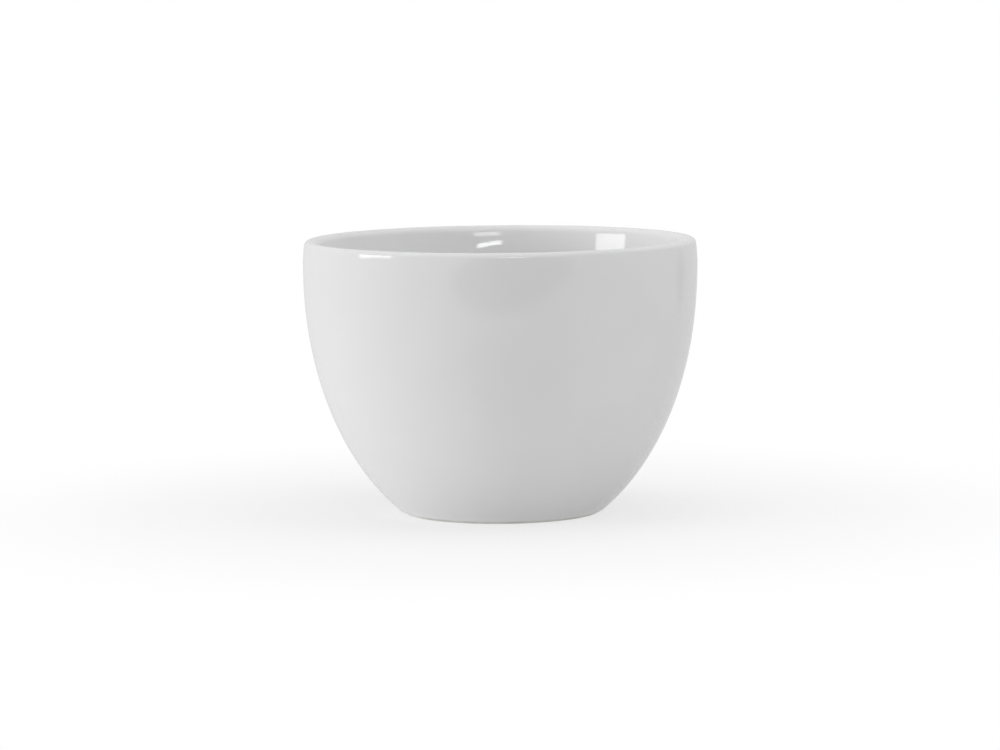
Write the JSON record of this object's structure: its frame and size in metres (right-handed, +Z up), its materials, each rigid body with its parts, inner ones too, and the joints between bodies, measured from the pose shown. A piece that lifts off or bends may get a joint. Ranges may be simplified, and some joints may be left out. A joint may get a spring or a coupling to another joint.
{
  "type": "bouillon bowl",
  "caption": "Plain white glazed china bowl without handles, deep and rounded, tapering from a wide thin lip to a small foot ring, for serving clear soup.",
  "frame": {"origin": "centre of the standing ring, on the table", "axes": "+Z up along the bowl's axis, from the foot to the open rim; the bowl is round, so +X and +Y are free"},
  "size_m": [0.092, 0.092, 0.064],
  "materials": {
    "bare_china": "fired vitrified china, unglazed and matt, shows only on the standing ring",
    "white_glaze": "smooth glossy white glaze"
  },
  "bodies": {
    "root": {"china_body": "bare_china", "glaze_coat": "white_glaze", "foot_well_glaze": "white_glaze"}
  },
  "joints": []
}
